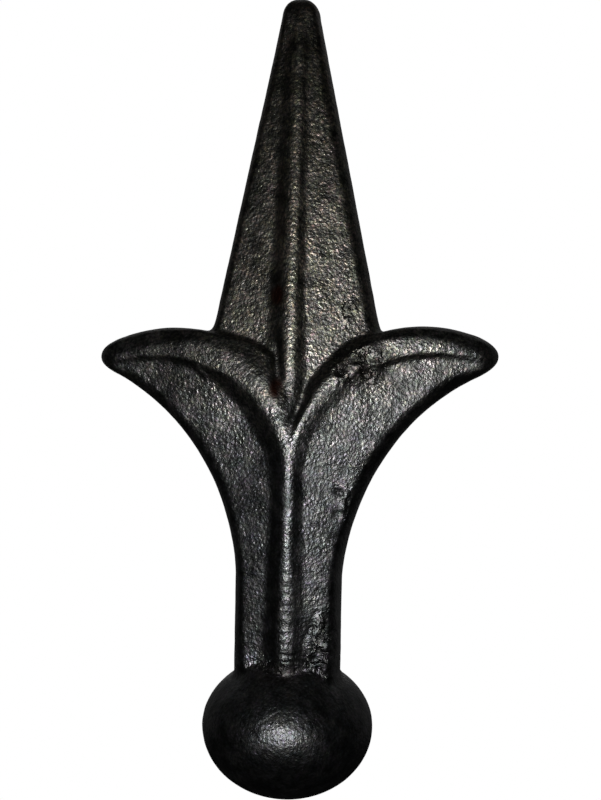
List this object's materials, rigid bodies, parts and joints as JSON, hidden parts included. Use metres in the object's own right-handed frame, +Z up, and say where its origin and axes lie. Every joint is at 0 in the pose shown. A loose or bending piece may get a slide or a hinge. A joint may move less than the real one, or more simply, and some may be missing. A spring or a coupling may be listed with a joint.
{
  "type": "fence finial",
  "caption": "Forged spearhead finial with two out-curled leaves, a central rib and a ball foot, in black paint, welded on top of a fence bar.",
  "frame": {"origin": "centre of the flat weld face under the ball", "axes": "+Z up through the ball to the blade's point, +X to the right leaf as seen from the front, -Y out of the front"},
  "size_m": [0.08, 0.034, 0.1582],
  "materials": {
    "black_iron": "thin satin black paint over rough forged iron"
  },
  "bodies": {
    "root": {"finial": "black_iron"}
  },
  "joints": []
}
